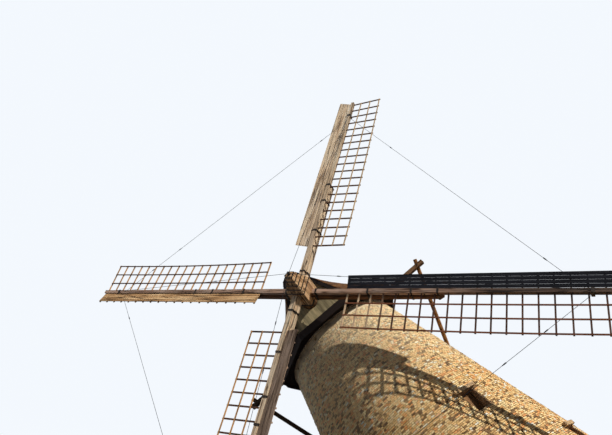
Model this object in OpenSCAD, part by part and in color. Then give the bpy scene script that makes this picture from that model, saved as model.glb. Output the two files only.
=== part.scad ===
/* [Tower] */
// Height of the round tower from the ground to the top of its masonry
tower_h = 10300; // [9000:50:11500]
// Outer radius of the tower at its top
tower_top_r = 2150; // [2000:10:2250]
// How much the tower's radius grows for each millimetre of height going down
tower_batter = 0.2; // [0.16:0.005:0.22]
// Thickness of the masonry at the ground
wall_foot_t = 900; // [700:10:1000]
// Thickness of the masonry at the top
wall_top_t = 560; // [450:10:600]
// Number of upright segments that the round wall is built in
wall_segments = 6; // [6:1:6]
// Compass turn of the first joint between wall segments, from the front
segment_turn = -15; // [-18:1:-12]
// Height of the smooth mortar band that finishes the masonry
band_h = 220; // [150:10:300]
// Number of small beam holes round the mortar band
band_hole_count = 10; // [6:1:12]
// Side of each square beam hole
band_hole = 130; // [80:10:160]
// Depth of each beam hole
band_hole_depth = 160; // [100:10:200]
// Height of the wooden curb ring that the cap turns on
curb_h = 60; // [40:5:90]
// How far the curb ring stands out past the masonry
curb_proud = 25; // [10:5:40]

/* [Floors] */
// Thickness of the ground floor slab
ground_floor_t = 150; // [100:10:200]
// Thickness of the upper plank floors
upper_floor_t = 120; // [80:10:150]
// Height of the first upper floor
first_floor_z = 2350; // [2200:10:2500]
// Height of the second upper floor
second_floor_z = 4450; // [4300:10:4600]

/* [Windows] */
// Width of each window opening in the wall
window_w = 520; // [450:10:600]
// Height of the small upper windows
small_window_h = 680; // [550:10:700]
// Sill height of the small upper windows
small_window_z = 4970; // [4900:10:5100]
// Compass angle of the small window from the front, towards the right
small_window_turn = 32.5; // [30:0.5:34]
// Height of the larger lower windows
large_window_h = 860; // [700:10:900]
// Sill height of the larger lower windows
large_window_z = 2620; // [2560:10:2700]
// Compass angle of the larger window from the front, towards the right
large_window_turn = 63; // [60:1:66]
// Thickness of the window frame's timber
frame_t = 55; // [40:5:70]
// Depth of the window frame's timber in the wall
frame_d = 110; // [80:5:140]
// How far the window frame sits behind the wall's face
frame_setback = 230; // [200:10:300]
// Thickness of the window's closed leaf
pane_t = 30; // [20:2:40]
// Height of the timber lintel over a window
lintel_h = 110; // [90:5:140]
// How far a lintel or sill reaches into the wall at each side
lintel_bearing = 110; // [80:5:150]
// How far a lintel stands out past the wall's face
lintel_proud = 10; // [0:5:30]
// Thickness of a window's sill board
sill_t = 50; // [40:5:60]
// How far a sill stands out past the wall's face
sill_proud = 40; // [20:5:60]

/* [Door] */
// Width of the doorway
door_w = 1050; // [900:10:1150]
// Height of the doorway above the ground floor
door_h = 2000; // [1900:10:2050]
// Compass angle of the doorway from the front, towards the right
door_turn = 135; // [130:1:140]
// Thickness of the plank door
door_t = 50; // [40:5:60]
// Thickness of the door frame's timber
door_frame_t = 90; // [70:5:110]
// Depth of the door frame's timber in the wall
door_frame_d = 140; // [120:5:160]
// How far the door frame sits behind the wall's face
door_setback = 320; // [300:10:360]
// How far the door's leaf sits behind the front of its frame
leaf_setback = 40; // [20:5:60]
// How far the door's lintel reaches into the wall at each side
door_bearing = 200; // [150:10:240]
// Height of the door's lintel
door_lintel_h = 160; // [140:5:180]

/* [Cap] */
// Distance from the tower's axis to each side of the eight-sided cap floor
cap_apothem = 2450; // [2400:10:2500]
// Half width of the cap's front side
cap_front_half = 1015; // [950:5:1050]
// Distance in front of the tower's axis at which the cap's sides start to draw in to the rear
cap_waist = 580; // [500:10:640]
// Free space between the curb ring and the cap's drawn-in sides
cap_side_clear = 40; // [30:5:60]
// Thickness of the cap's floor ring
cap_ring_t = 160; // [120:10:180]
// Radius of the round well through the cap's floor ring
cap_well_r = 1500; // [1400:10:1550]
// Height of the board that hides the edge of the cap's floor
eave_board_h = 260; // [220:10:280]
// Thickness of the eave board
eave_board_t = 40; // [30:5:50]
// Height of the cap's ridge above the tower's masonry
ridge_z = 2430; // [2350:10:2500]
// Upright thickness of the boarded roof
roof_t = 110; // [90:5:130]
// How far the roof's lower edge stands out past the cap floor
roof_overhang = 165; // [140:5:180]
// Distance from the tower's axis to the outer face of the front and rear boarding
gable_y = 2380; // [2350:10:2400]
// Thickness of the front and rear boarding
gable_t = 60; // [40:5:70]
// How far the roof stands out past the front and rear boarding
verge_out = 80; // [60:5:90]
// Width of the verge boards that edge the roof at front and rear
verge_w = 120; // [100:5:140]
// Thickness of the verge boards
verge_t = 35; // [25:5:40]
// Width of the board that covers the ridge
ridge_board_w = 220; // [160:10:260]
// Thickness of the ridge board
ridge_board_t = 40; // [30:5:50]

/* [Tail frame] */
// Distance of the spreader beam behind the tower's axis
spreader_y = 1500; // [1400:10:1600]
// Height of the spreader beam above the tower's masonry
spreader_z = 1370; // [1300:10:1450]
// Reach of the spreader beam to the right, past the brace
spreader_right = 4800; // [4500:10:5000]
// Reach of the spreader beam to the left, past the brace
spreader_left = 4300; // [4100:10:4600]
// Distance from the spreader beam's ends to the braces that cross it
brace_inset = 290; // [200:10:400]
// Side of the square spreader beam
spreader_w = 170; // [150:5:200]
// Radius of each round brace
brace_r = 80; // [70:5:95]
// How far each brace runs on past the spreader beam
brace_past = 330; // [200:10:400]
// Side of the square tail pole
tail_w = 230; // [200:10:260]
// Height of the tail pole's upper end above the tower's masonry
tail_top_z = 1000; // [900:10:1100]
// Distance of the tail pole's foot behind the tower's axis
tail_foot_y = 5800; // [5500:50:6100]
// Height of the tail pole's foot above the ground
tail_foot_z = 1000; // [800:50:1400]
// Distance along the tail pole from its foot to where the braces meet it
brace_foot = 700; // [500:50:900]

/* [Windshaft] */
// Backward tilt of the windshaft from level
shaft_tilt = 7.8; // [6:0.2:9]
// Height above the masonry at which the shaft crosses the tower's axis
shaft_z = 630; // [600:5:680]
// Distance along the shaft from the tower's axis to the sails' centre
hub_out = 3200; // [3150:10:3300]
// Radius of the round wooden windshaft
shaft_r = 250; // [220:5:270]
// Radius of the iron journal at the neck of the shaft
neck_r = 215; // [180:5:215]
// Length of the neck journal
neck_l = 330; // [320:10:360]
// Distance along the shaft from the tower's axis to the middle of the neck journal
neck_out = 1900; // [1850:10:1950]
// Radius of the journal at the tail of the shaft
tail_journal_r = 110; // [90:5:130]
// Length of the tail journal
tail_journal_l = 300; // [290:10:340]
// Distance along the shaft from the tower's axis back to the tail journal's middle
tail_journal_back = 1100; // [1000:10:1150]
// Width along the shaft of each bearing beam
bearing_beam_w = 240; // [200:10:260]
// Wood over the tail journal in its closed bearing beam
bearing_wall = 110; // [90:5:130]
// Height of the weather beam's top over the shaft's axis; its bearing is open above
neck_cover = 0; // [-20:5:20]
// Half length of the weather beam, which carries the neck journal
weather_half = 900; // [800:10:930]
// Half length of the beam that carries the tail journal
tail_half = 1350; // [1250:10:1400]

/* [Poll end] */
// Half side of the square poll end at its back
poll_back = 330; // [300:5:350]
// Half side of the square poll end at its front
poll_front = 110; // [90:5:130]
// Reach of the poll end in front of the sails' centre
poll_fore = 900; // [850:10:950]
// Reach of the poll end behind the sails' centre
poll_aft = 500; // [480:5:520]
// Reach in front of the sails' centre where the poll end starts to taper
poll_square = 180; // [150:5:220]
// Width of the iron band round the back of the poll end
poll_band_w = 60; // [50:5:80]
// Thickness of that band
poll_band_t = 14; // [10:1:20]
// Number of narrow iron hoops round the poll end's taper
hoop_count = 5; // [3:1:5]
// Width of each hoop
hoop_w = 35; // [25:5:45]
// Thickness of each hoop
hoop_t = 10; // [6:1:14]
// Distance along the shaft from one hoop to the next
hoop_pitch = 165; // [150:5:170]

/* [Sails] */
// Turn of the first sail from upright, clockwise seen from the front
sail_turn = 48.5; // [45:0.5:50]
// Distance from the sails' centre to the first sail bar
first_bar = 1680; // [1600:10:1800]
// Spacing of the sail bars
bar_pitch = 400; // [380:5:410]
// Number of sail bars on each sail
bar_count = 20; // [16:1:20]
// Distance of the outermost lath from the whip's middle line
sail_reach = 1260; // [1150:10:1300]
// Number of laths along each lattice
lath_count = 3; // [2:1:4]
// How far each bar pokes out past the last lath
bar_past = 40; // [20:5:60]
// Width of a sail bar along the sail
bar_w = 46; // [36:2:60]
// Thickness of a sail bar
bar_t = 34; // [28:2:44]
// Width of a lath
lath_w = 42; // [34:2:56]
// Thickness of a lath
lath_t = 26; // [20:2:34]
// Twist of the lattice at its inner end, in degrees from the plane of rotation
weather_heel = 1; // [0:0.1:2]
// Twist of the lattice at its outer end
weather_tip = -2.9; // [-4:0.1:-2]
// Extra twist at the middle of the lattice
weather_belly = 4.2; // [3:0.1:5]
// Half the distance between the planes of the two crossing pairs of sails
plane_offset = 160; // [150:5:170]
// Depth of a whip, front to back
whip_d = 150; // [130:5:160]
// Width of a whip at its inner end
whip_heel_w = 160; // [150:5:180]
// Width of a whip at its tip
whip_tip_w = 125; // [110:5:140]
// How far a whip runs on past its last bar
whip_past = 130; // [100:10:160]
// Depth of a stock, front to back
stock_d = 200; // [190:5:210]
// Width of a stock in the poll end
stock_w = 270; // [250:5:290]
// Width of a stock near its ends
stock_tip_w = 190; // [170:5:210]
// Length of each arm of a stock from the sails' centre
stock_l = 4700; // [4600:10:4800]
// Gap between the poll end and the inner end of a whip
whip_gap = 60; // [40:5:80]
// Distance from the poll end to the first iron clamp, for sails a, d, c and b
heel_clamps = [270, 200, 580, 270];
// The other clamps on each arm: share of the stock's length, share of the bay between two bars
clamp_places = [[0.5, 0.7], [0.8, 0.2], [0.97, 0.2]];
// Width of an iron clamp along the arm
clamp_w = 60; // [50:5:80]
// Thickness of an iron clamp
clamp_t = 12; // [8:1:16]

/* [Windboards] */
// Number of planks in each windboard
plank_count = 4; // [3:1:5]
// Width of a windboard across all its planks
board_w = 440; // [400:10:460]
// Gap between neighbouring planks
plank_gap = 9; // [6:1:12]
// Thickness of a plank
plank_t = 24; // [18:2:30]
// Forward slope of the windboard towards its leading edge
board_slope = 17; // [12:1:20]
// Gap between the iron clamps and the first plank
board_gap = 6; // [4:1:10]
// How far the bar ends poke out past the leading plank, for sails a, d, c and b
bar_nubs = [-20, -20, 15, 30];

/* [Stays] */
// Radius of a wire stay
stay_r = 7; // [5:0.5:10]
// Number of the sail bar, counted from the inner end, that the stay collars sit past
stay_bar = 18; // [17:1:19]
// How far past that bar the collars sit
stay_past = 100; // [80:5:150]
// Width of a stay collar along the whip
collar_w = 90; // [70:5:110]
// Thickness of a stay collar's iron
collar_t = 12; // [8:1:16]
// Reach of a collar's rear lug behind the whip
collar_lug = 70; // [60:5:90]
// Radius of the iron stem on the poll end that the front stays start from
stem_r = 45; // [35:5:60]
// Length of that stem
stem_l = 110; // [90:10:140]

/* [Fits] */
// Gap between pieces that turn or rest on each other
seat = 0.3; // [0.2:0.05:0.4]
// Gap round a timber that passes through another piece
hole_gap = 0.3; // [0.2:0.05:0.4]
// Free space round the windshaft where it passes through the front boarding
shaft_gap = 30; // [20:5:40]

/* [Hidden] */
$fn = 96;
big = 30000;
eps = 1;

segment_angle = 360 / wall_segments;
// The joint between two segments, as an angle
segment_gap = seat / tower_top_r * 180 / PI;
tower_foot_r = tower_top_r + tower_batter * tower_h;
cap_z = tower_h + curb_h + seat;
cap_top = cap_z + cap_ring_t;
eave_z = cap_top + seat + roof_t;

function outer_r(z) = tower_top_r + tower_batter * (tower_h - z);
function wall_t(z) = wall_top_t + (wall_foot_t - wall_top_t) * (tower_h - z) / tower_h;
function inner_r(z) = outer_r(z) - wall_t(z);

// Windows are [angle, sill height, opening height]; the rear half repeats the front
windows = [
  [small_window_turn, small_window_z, small_window_h],
  [large_window_turn, large_window_z, large_window_h],
  [small_window_turn + 180, small_window_z, small_window_h],
  [large_window_turn + 180, large_window_z, large_window_h]
];
// Every hole through the wall starts this far outside its face
clear_out = 300;
hole_reach = wall_foot_t + 2 * clear_out;
door_top = ground_floor_t + door_h;
door_face_r = outer_r(door_top);

module place_window(w) {
  r = outer_r(w[1] + w[2] / 2);
  rotate([0, 0, w[0]]) translate([0, -r, w[1]]) children();
}

module window_hole(w) {
  place_window(w) translate([-window_w / 2, -clear_out, 0]) cube([window_w, hole_reach, w[2]]);
}

module lintel_block(w, grow) {
  long = window_w + 2 * lintel_bearing + 2 * grow;
  deep = lintel_proud + frame_setback + frame_d + 2 * grow;
  place_window(w) translate([-long / 2, -lintel_proud - grow, w[2]])
    cube([long, deep, lintel_h + grow]);
}

module sill_block(w, grow) {
  long = window_w + lintel_bearing + 2 * grow;
  deep = sill_proud + frame_setback + grow;
  place_window(w) translate([-long / 2, -sill_proud - grow, -sill_t - grow])
    cube([long, deep, sill_t + grow]);
}

module place_door() {
  rotate([0, 0, door_turn]) translate([0, -door_face_r, 0]) children();
}

module door_hole() {
  out = tower_foot_r - door_face_r + clear_out;
  place_door() translate([-door_w / 2, -out, ground_floor_t]) cube([door_w, out + hole_reach, door_h]);
}

module door_lintel_block(grow) {
  long = door_w + 2 * door_bearing + 2 * grow;
  deep = door_setback + door_frame_d + 2 * grow;
  place_door() translate([-long / 2, -grow, door_top]) cube([long, deep, door_lintel_h + grow]);
}

// One upright segment of the round battered wall
module wall_segment(index) {
  start = segment_turn + index * segment_angle - 90;
  top_z = tower_h - band_h - seat;
  color("tan") difference() {
    rotate([0, 0, start]) rotate_extrude(angle = segment_angle - segment_gap, $fn = 96)
      polygon([
        [inner_r(0), 0], [outer_r(0), 0],
        [outer_r(top_z), top_z], [inner_r(top_z), top_z]
      ]);
    for (w = windows) {
      window_hole(w);
      lintel_block(w, seat);
      sill_block(w, seat);
    }
    door_hole();
    door_lintel_block(seat);
  }
}

module wall_front_right() { wall_segment(0); }
module wall_right() { wall_segment(1); }
module wall_rear_right() { wall_segment(2); }
module wall_rear_left() { wall_segment(3); }
module wall_left() { wall_segment(4); }
module wall_front_left() { wall_segment(5); }

module mortar_band() {
  low = tower_h - band_h;
  color("darkgray") difference() {
    rotate_extrude() polygon([
      [inner_r(low), low], [outer_r(low), low],
      [outer_r(tower_h), tower_h], [inner_r(tower_h), tower_h]
    ]);
    for (i = [0 : band_hole_count - 1])
      rotate([0, 0, (i + 0.5) * 360 / band_hole_count])
        translate([-band_hole / 2, -outer_r(low) - 50, low + (band_h - band_hole) / 2])
          cube([band_hole, band_hole_depth + 50, band_hole]);
  }
}

module curb_ring() {
  color("burlywood") translate([0, 0, tower_h]) difference() {
    cylinder(r = tower_top_r + curb_proud, h = curb_h);
    translate([0, 0, -eps]) cylinder(r = inner_r(tower_h), h = curb_h + 2 * eps);
  }
}

module floor_disc(z, t) {
  translate([0, 0, z])
    cylinder(r1 = inner_r(z) - seat, r2 = inner_r(z + t) - seat, h = t);
}

module ground_floor() {
  color("gray") floor_disc(0, ground_floor_t);
}

module upper_floors() {
  color("peru") {
    floor_disc(first_floor_z, upper_floor_t);
    floor_disc(second_floor_z, upper_floor_t);
  }
}

module window_frames() {
  color("saddlebrown") for (w = windows) place_window(w)
    translate([0, frame_setback, 0]) difference() {
      translate([-window_w / 2 + seat, 0, seat])
        cube([window_w - 2 * seat, frame_d, w[2] - 2 * seat]);
      translate([-window_w / 2 + frame_t, -eps, frame_t])
        cube([window_w - 2 * frame_t, frame_d + 2 * eps, w[2] - 2 * frame_t]);
    }
}

module window_leaves() {
  color("dimgray") for (w = windows) place_window(w)
    translate([-window_w / 2 + frame_t + seat, frame_setback + frame_d / 2, frame_t + seat])
      cube([window_w - 2 * frame_t - 2 * seat, pane_t, w[2] - 2 * frame_t - 2 * seat]);
}

module window_lintels() {
  color("burlywood") for (w = windows) lintel_block(w, 0);
}

module window_sills() {
  color("tan") for (w = windows) sill_block(w, 0);
}

module door_frame() {
  color("saddlebrown") place_door() translate([0, door_setback, ground_floor_t]) difference() {
    translate([-door_w / 2 + seat, 0, seat]) cube([door_w - 2 * seat, door_frame_d, door_h - 2 * seat]);
    translate([-door_w / 2 + door_frame_t, -eps, -eps])
      cube([door_w - 2 * door_frame_t, door_frame_d + 2 * eps, door_h - door_frame_t + eps]);
  }
}

module door_leaf() {
  color("sienna") place_door()
    translate([-door_w / 2 + door_frame_t + seat, door_setback + leaf_setback, ground_floor_t + seat])
      cube([door_w - 2 * door_frame_t - 2 * seat, door_t, door_h - door_frame_t - 2 * seat]);
}

module door_lintel() {
  color("burlywood") door_lintel_block(0);
}

// The sides draw in behind the waist, by the angle that keeps them clear of the curb ring
side_reach = tower_top_r + curb_proud + cap_side_clear;
side_angle = acos(side_reach / norm([cap_apothem, cap_waist])) - atan2(cap_waist, cap_apothem);
cap_rear_half = cap_apothem - (cap_apothem + cap_waist) * tan(side_angle);
cap_plan = [
  [cap_front_half, -cap_apothem], [cap_apothem, -cap_front_half],
  [cap_apothem, -cap_waist], [cap_rear_half, cap_apothem],
  [-cap_rear_half, cap_apothem], [-cap_apothem, -cap_waist],
  [-cap_apothem, -cap_front_half], [-cap_front_half, -cap_apothem]
];
function side_normal(i) =
  let (n = len(cap_plan), d = cap_plan[(i + 1) % n] - cap_plan[i % n]) [d[1], -d[0]] / norm(d);

// The cap floor's eight-sided outline, grown by a distance from its sides
module cap_outline(grow) {
  n = len(cap_plan);
  polygon([for (i = [0 : n - 1])
    let (a = side_normal(i + n - 1), b = side_normal(i)) cap_plan[i] + (a + b) * grow / (1 + a * b)]);
}

module cap_floor_ring() {
  color("peru") translate([0, 0, cap_z]) difference() {
    linear_extrude(cap_ring_t) cap_outline(0);
    translate([0, 0, -eps]) cylinder(r = cap_well_r, h = cap_ring_t + 2 * eps);
  }
}

module eave_board() {
  color("saddlebrown") translate([0, 0, cap_top - eave_board_h]) difference() {
    linear_extrude(eave_board_h) cap_outline(eave_board_t);
    translate([0, 0, -eps]) linear_extrude(eave_board_h + 2 * eps) cap_outline(0);
  }
}

// The roof's curve from ridge to eave: share of the half width, share of the height
roof_curve = [
  [0, 1], [0.236, 0.901], [0.359, 0.774], [0.463, 0.639], [0.639, 0.401], [0.811, 0.168],
  [0.905, 0.081], [1, 0]
];
roof_steps = len(roof_curve);
roof_front_half = cap_front_half + roof_overhang;
roof_side_half = cap_apothem + roof_overhang;
roof_rear_half = cap_rear_half + roof_overhang;
roof_end_y = gable_y + verge_out;
function blend(a, b, share) = a + (b - a) * share;
// Each side of the roof is three panels, which meet over the corners of the cap floor
roof_bays = 4;
roof_panels = [
  concat([-roof_end_y, -gable_y],
    [for (i = [0 : roof_bays]) blend(gable_t - gable_y, -cap_front_half - seat / 2, i / roof_bays)]),
  [-cap_front_half + seat / 2, -cap_waist - seat / 2],
  concat([for (i = [0 : roof_bays]) blend(-cap_waist + seat / 2, gable_y - gable_t, i / roof_bays)],
    [gable_y, roof_end_y])
];

function roof_half(y) =
  let (to_front = (y + cap_front_half) / (cap_front_half - roof_end_y),
    to_rear = (y + cap_waist) / (roof_end_y + cap_waist))
  to_front > 0 ? blend(roof_side_half, roof_front_half, to_front) :
  to_rear > 0 ? blend(roof_side_half, roof_rear_half, to_rear) : roof_side_half;
function roof_z(share) = eave_z + (tower_h + ridge_z - eave_z) * share;

roof_ring = concat(
  [for (i = [0 : roof_steps - 1]) [roof_curve[i][0], roof_curve[i][1], 0]],
  [for (i = [roof_steps - 1 : -1 : 0]) [roof_curve[i][0], roof_curve[i][1], 1]]
);

module roof_panel(side, stations) {
  n = len(roof_ring);
  m = len(stations);
  points = [for (y = stations, q = roof_ring)
    [side * q[0] * roof_half(y), y, roof_z(q[1]) - q[2] * roof_t]];
  walls = [for (s = [0 : m - 2], i = [0 : n - 1], half = [0, 1])
    let (j = (i + 1) % n, a = s * n, b = (s + 1) * n)
      half == 0 ? [a + i, a + j, b + j] : [a + i, b + j, b + i]];
  ends = [for (i = [0 : roof_steps - 2]) [i, i + 1, n - 2 - i, n - 1 - i]];
  front = [for (f = ends) [f[3], f[2], f[1], f[0]]];
  rear = [for (f = ends) [for (k = f) (m - 1) * n + k]];
  faces = concat(walls, front, rear);
  turned = [for (f = faces) [for (i = [len(f) - 1 : -1 : 0]) f[i]]];
  polyhedron(points, side > 0 ? turned : faces, convexity = 6);
}

module roof_side(side) {
  roof_panel(side, roof_panels[0]);
  roof_panel(side, roof_panels[1]);
  difference() {
    roof_panel(side, roof_panels[2]);
    spreader_block(hole_gap);
  }
}

module roof_left() { color("saddlebrown") roof_side(-1); }
module roof_right() { color("saddlebrown") roof_side(1); }

module ridge_board() {
  color("sienna") translate([-ridge_board_w / 2, -roof_end_y, tower_h + ridge_z + seat])
    cube([ridge_board_w, 2 * roof_end_y, ridge_board_t]);
}

// The boarding's outline below the roof, down to the cap floor, at the front or the rear
module gable_outline(y, side_half) {
  half = [for (q = roof_curve) [q[0] * roof_half(y), roof_z(q[1]) - roof_t - seat]];
  left = [for (i = [roof_steps - 1 : -1 : 1]) [-half[i][0], half[i][1]]];
  intersection() {
    polygon(concat(
      half,
      [[roof_half(y), cap_top], [-roof_half(y), cap_top]],
      left
    ));
    translate([-side_half, cap_top]) square([2 * side_half, ridge_z]);
  }
}

module front_boarding() {
  color("darkseagreen") difference() {
    translate([0, -gable_y + gable_t, 0]) rotate([90, 0, 0]) linear_extrude(gable_t)
      gable_outline(-gable_y, cap_front_half);
    on_shaft() cylinder(r = shaft_r + shaft_gap, h = hub_out);
  }
}

module rear_boarding() {
  color("darkseagreen")
    translate([0, gable_y, 0]) rotate([90, 0, 0]) linear_extrude(gable_t)
      gable_outline(gable_y, cap_rear_half);
}

// A point of the roof's curve at one end of the cap, and which way its surface faces there
function curve_point(i, end_half) = [roof_curve[i][0] * end_half, roof_z(roof_curve[i][1])];
function curve_normal(i, end_half) =
  let (k = max(0, min(i, roof_steps - 2)), d = curve_point(k + 1, end_half) - curve_point(k, end_half))
    [-d[1], d[0]] / norm(d);

// Boards that edge the roof, cut to the same curve and ending above the cap floor
module verge_outline(side, end_half) {
  outer = [for (i = [0 : roof_steps - 1]) curve_point(i, end_half)];
  inner = [for (i = [roof_steps - 1 : -1 : 0])
    let (a = curve_normal(i - 1, end_half), b = curve_normal(i, end_half))
      outer[i] - (a + b) * verge_w / (1 + a * b)];
  scale([side, 1]) intersection() {
    polygon(concat(outer, inner));
    translate([seat / 2, cap_top + seat]) square([big, ridge_z]);
  }
}

module verge_boards() {
  color("black") for (side = [-1, 1]) {
    translate([0, -roof_end_y - seat, 0]) rotate([90, 0, 0]) linear_extrude(verge_t)
      verge_outline(side, roof_front_half);
    translate([0, roof_end_y + seat + verge_t, 0]) rotate([90, 0, 0]) linear_extrude(verge_t)
      verge_outline(side, roof_rear_half);
  }
}

// The shaft's frame: its axis is +Z, forward and up, from the tower's axis
module on_shaft() {
  translate([0, 0, tower_h + shaft_z]) rotate([90 - shaft_tilt, 0, 0]) children();
}

// A beam across the cap floor, bored for a journal at a distance along the shaft
module bearing_beam(along, journal_r, cover, half_l) {
  top_z = tower_h + shaft_z + along * sin(shaft_tilt) + cover;
  y = -along * cos(shaft_tilt);
  difference() {
    translate([-half_l, y - bearing_beam_w / 2, cap_top])
      cube([2 * half_l, bearing_beam_w, top_z - cap_top]);
    on_shaft() translate([0, 0, along - bearing_beam_w])
      cylinder(r = journal_r + seat, h = 2 * bearing_beam_w);
  }
}

module weather_beam() {
  color("sienna") bearing_beam(neck_out, neck_r, neck_cover, weather_half);
}

module tail_bearing_beam() {
  cover = tail_journal_r + bearing_wall;
  color("sienna") bearing_beam(-tail_journal_back, tail_journal_r, cover, tail_half);
}

module spreader_block(grow) {
  w = spreader_w + 2 * grow;
  translate([-spreader_left - grow, spreader_y - w / 2, tower_h + spreader_z - w / 2])
    cube([spreader_left + spreader_right + 2 * grow, w, w]);
}

module spreader_beam() {
  color("peru") spreader_block(0);
}

tail_top = [0, gable_y, tower_h + tail_top_z];
tail_foot = [0, tail_foot_y, tail_foot_z];
tail_dir = (tail_foot - tail_top) / norm(tail_foot - tail_top);
tail_lean = atan2(tail_dir[1], -tail_dir[2]);
brace_end = tail_foot - tail_dir * brace_foot;

module tail_pole() {
  color("peru") intersection() {
    translate(tail_top) rotate([tail_lean, 0, 0])
      translate([-tail_w / 2, -tail_w / 2, -norm(tail_foot - tail_top)])
        cube([tail_w, tail_w, norm(tail_foot - tail_top) + tail_w]);
    translate([-tail_w, gable_y + seat, 0]) cube([2 * tail_w, big, tower_h + tail_top_z]);
  }
}

// A round pole from one point to another
module pole(from, to, r, sides) {
  d = to - from;
  l = norm(d);
  translate(from) rotate([0, acos(d[2] / l), atan2(d[1], d[0])]) rotate([0, 0, 180])
    cylinder(r = r, h = l, $fn = sides);
}

module brace(side) {
  reach = side > 0 ? spreader_right : spreader_left;
  cross_at = [side * (reach - brace_inset), spreader_y + spreader_w / 2, tower_h + spreader_z];
  up = (cross_at - brace_end) / norm(cross_at - brace_end);
  difference() {
    pole(brace_end, cross_at + up * brace_past, brace_r, 32);
    spreader_block(hole_gap);
    translate([side > 0 ? -big + tail_w / 2 + seat : -tail_w / 2 - seat, 0, 0]) cube([big, big, big]);
  }
}

module tail_braces() {
  color("peru") {
    brace(-1);
    brace(1);
  }
}

// The sails' frame: origin at the sails' centre, +Z forward along the shaft
module at_hub() {
  on_shaft() translate([0, 0, hub_out]) children();
}

// One sail's frame: +X out along the sail, +Y to its leading side, +Z forward
sail_plane = [plane_offset, -plane_offset, plane_offset, -plane_offset];
module on_sail(k) {
  at_hub() rotate([0, 0, 90 - sail_turn - 90 * k]) translate([0, 0, sail_plane[k]]) children();
}

stock_back = whip_d / 2 + stock_d;
clamp_at = [for (c = clamp_places)
  first_bar + (floor((c[0] * stock_l - first_bar) / bar_pitch) + c[1]) * bar_pitch];
last_bar = first_bar + (bar_count - 1) * bar_pitch;
stay_at = first_bar + (stay_bar - 1) * bar_pitch + stay_past;
whip_start = poll_back + whip_gap;
whip_end = last_bar + whip_past;

module windshaft() {
  neck_a = neck_out - neck_l / 2;
  neck_b = neck_out + neck_l / 2;
  tail_a = -tail_journal_back - tail_journal_l / 2;
  tail_b = -tail_journal_back + tail_journal_l / 2;
  color("peru") on_shaft() rotate_extrude() polygon([
    [0, tail_a], [tail_journal_r, tail_a], [tail_journal_r, tail_b], [shaft_r, tail_b],
    [shaft_r, neck_a], [neck_r, neck_a], [neck_r, neck_b], [shaft_r, neck_b],
    [shaft_r, hub_out - poll_aft - seat], [0, hub_out - poll_aft - seat]
  ]);
}

// Share of a stock's width that its bevels leave at the end
stock_nose = 0.3;
// Width and depth of the rebate worked along the edges of a stock's front face
stock_rebate = 25;

module stock_slab(k, low, high, half_w, half_tip) {
  w = half_w;
  t = half_tip;
  on_sail(k) translate([0, 0, low]) linear_extrude(high - low) polygon([
    [-stock_l, -t * stock_nose], [-stock_l + t, -t], [-poll_back, -w], [poll_back, -w],
    [stock_l - t, -t], [stock_l, -t * stock_nose], [stock_l, t * stock_nose],
    [stock_l - t, t], [poll_back, w], [-poll_back, w], [-stock_l + t, t], [-stock_l, t * stock_nose]
  ]);
}

// The bar that runs through a pair of arms, with a bevelled end on each arm
module stock_bar(k, grow) {
  w = stock_w / 2 + grow;
  t = stock_tip_w / 2 + grow;
  step = -whip_d / 2 - stock_rebate + grow;
  stock_slab(k, -stock_back - grow, step, w, t);
  stock_slab(k, step - eps, grow - whip_d / 2, w - stock_rebate, t - stock_rebate);
}

module poll_block(grow) {
  at_hub() rotate([0, 0, 90 - sail_turn]) {
    b = poll_back + grow;
    f = poll_front + grow;
    hull() {
      translate([-b, -b, -poll_aft]) cube([2 * b, 2 * b, eps]);
      translate([-b, -b, poll_square]) cube([2 * b, 2 * b, eps]);
      translate([-f, -f, poll_fore - eps]) cube([2 * f, 2 * f, eps]);
    }
  }
}

module poll_end() {
  color("burlywood") difference() {
    poll_block(0);
    stock_bar(0, hole_gap);
    stock_bar(1, hole_gap);
  }
}

module poll_ring(z, w, t) {
  intersection() {
    poll_block(t);
    at_hub() translate([-big / 2, -big / 2, z]) cube([big, big, w]);
  }
}

module poll_bands() {
  color("dimgray") difference() {
    union() {
      poll_ring(-poll_aft, poll_band_w, poll_band_t);
      for (i = [0 : hoop_count - 1]) poll_ring(poll_fore - hoop_w - i * hoop_pitch, hoop_w, hoop_t);
    }
    poll_block(0);
  }
}

module stock_upper_right() { color("burlywood") stock_bar(0, 0); }
module stock_upper_left() { color("burlywood") stock_bar(1, 0); }

function whip_half(x) = blend(whip_heel_w, whip_tip_w, (x - whip_start) / (whip_end - whip_start)) / 2;
function weather(i) =
  let (t = i / (bar_count - 1)) blend(weather_heel, weather_tip, t) + weather_belly * 4 * t * (1 - t);

// How far a bar stops short of the whip's leading face
bar_stop = 20;
// Share of a bay by which the laths run on past the end bars
lath_past = 0.06;

module bar_cut(i, grow) {
  x = first_bar + i * bar_pitch;
  long = sail_reach + bar_past + whip_half(x) - bar_stop + 2 * grow;
  translate([x, 0, 0]) rotate([weather(i), 0, 0])
    translate([-bar_w / 2 - grow, -sail_reach - bar_past - grow, -bar_t / 2 - grow])
      cube([bar_w + 2 * grow, long, bar_t + 2 * grow]);
}

module whip(k) {
  on_sail(k) difference() {
    translate([0, 0, -whip_d / 2]) linear_extrude(whip_d) polygon([
      [whip_start, -whip_half(whip_start)], [whip_end, -whip_half(whip_end)],
      [whip_end, whip_half(whip_end)], [whip_start, whip_half(whip_start)]
    ]);
    for (i = [0 : bar_count - 1]) bar_cut(i, hole_gap);
  }
}

module sail_whips() {
  color("burlywood") for (k = [0 : 3]) whip(k);
}

function stock_half(x) = blend(stock_w, stock_tip_w, (x - poll_back) / (stock_l - poll_back)) / 2;

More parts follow.
